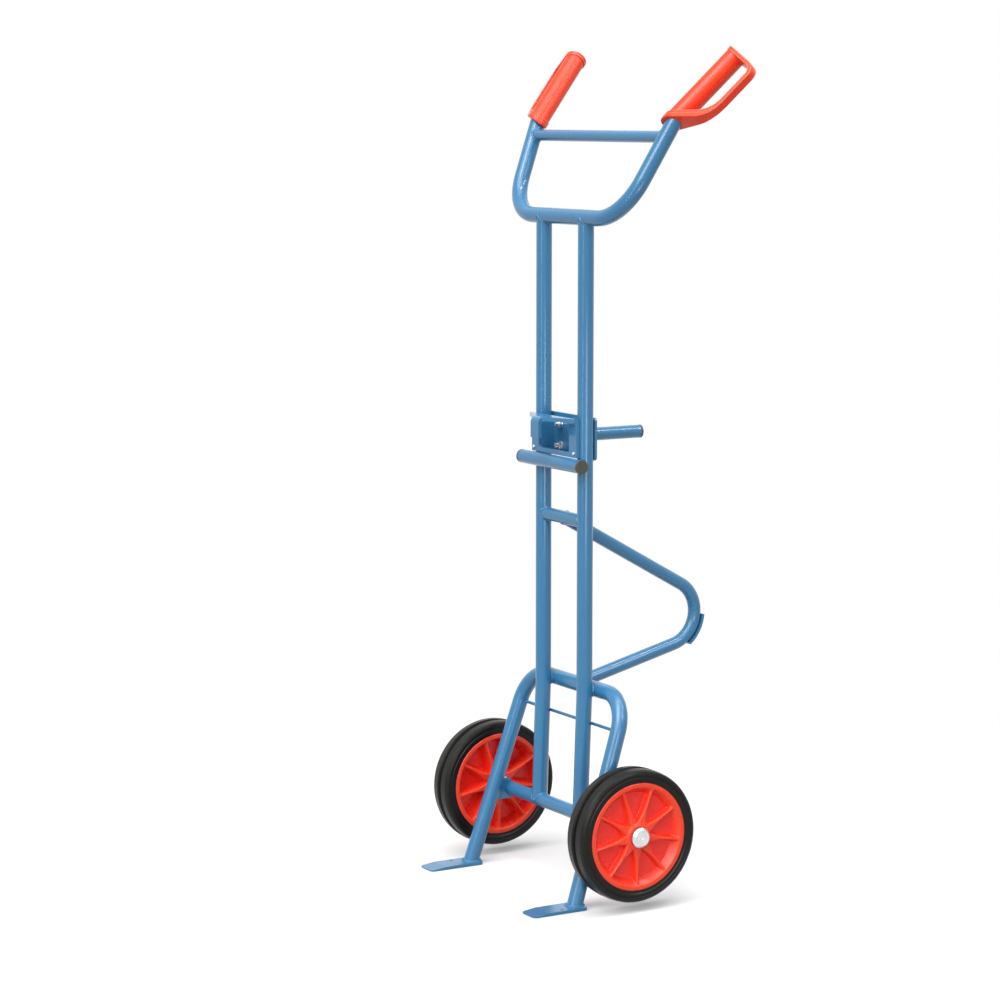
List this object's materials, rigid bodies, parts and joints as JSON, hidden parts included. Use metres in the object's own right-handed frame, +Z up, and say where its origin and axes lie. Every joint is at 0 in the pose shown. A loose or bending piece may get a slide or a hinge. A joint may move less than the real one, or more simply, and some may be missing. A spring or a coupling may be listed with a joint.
{
  "type": "drum trolley",
  "caption": "Hand trolley of welded steel tube for one upright barrel, with a sliding rim claw, guarded grips, a rear rest bow and solid-tyred wheels.",
  "frame": {"origin": "on the floor under the middle of the whole object's bounding box, with the trolley standing upright", "axes": "+Z up; +X to the operator's left along the axle; -Y to the front, where the load stands; +Y to the operator"},
  "size_m": [0.6854, 0.511, 1.5831],
  "materials": {
    "blue_paint": "glossy powder coat",
    "red_plastic": "moulded, half gloss",
    "tyre_rubber": "solid rubber, satin",
    "zinc_plate": "zinc plated",
    "axle_steel": "drawn bar",
    "black_plastic": "moulded, matt",
    "cage_plastic": "moulded, matt"
  },
  "bodies": {
    "frame": {"axle": "axle_steel", "axle_bracket_left": "blue_paint", "axle_bracket_right": "blue_paint", "axle_tube": "blue_paint", "grip_left": "red_plastic", "grip_right": "red_plastic", "handle_bow": "blue_paint", "handle_brace": "blue_paint", "hub_cap_left": "zinc_plate", "hub_cap_right": "zinc_plate", "inner_washers": "zinc_plate", "leg_bow": "blue_paint", "main_tube_left": "blue_paint", "main_tube_right": "blue_paint", "outer_washers": "zinc_plate", "rest_bow": "blue_paint", "rest_tube": "blue_paint", "rest_tube_plug_left": "black_plastic", "rest_tube_plug_right": "black_plastic", "tie_rod": "blue_paint", "toe_plate_left": "blue_paint", "toe_plate_right": "blue_paint", "upper_cross_tube": "blue_paint", "wear_plate": "blue_paint"},
    "claw": {"claw_guide_box": "blue_paint", "claw_hook": "blue_paint", "claw_nuts": "zinc_plate", "claw_peg": "blue_paint", "claw_peg_plug": "black_plastic", "claw_rear_plate": "blue_paint", "claw_rivets": "zinc_plate", "claw_screws": "zinc_plate", "claw_washers": "zinc_plate"},
    "wheel_left": {"bearing_cage_left": "cage_plastic", "bearing_rollers_left": "axle_steel", "rim_left": "red_plastic", "tyre_left": "tyre_rubber"},
    "wheel_right": {"bearing_cage_right": "cage_plastic", "bearing_rollers_right": "axle_steel", "rim_right": "red_plastic", "tyre_right": "tyre_rubber"}
  },
  "joints": [
    {"name": "claw_slide", "type": "slide", "parent": "frame", "child": "claw", "axis": [0, 0, 1], "range_m": [0, 0.34]},
    {"name": "wheel_left_spin", "type": "hinge", "parent": "frame", "child": "wheel_left", "pos_m": [0.2525, -0.06817, 0.143], "axis": [1, 0, 0], "continuous": true},
    {"name": "wheel_right_spin", "type": "hinge", "parent": "frame", "child": "wheel_right", "pos_m": [-0.2525, -0.06817, 0.143], "axis": [1, 0, 0], "continuous": true}
  ]
}
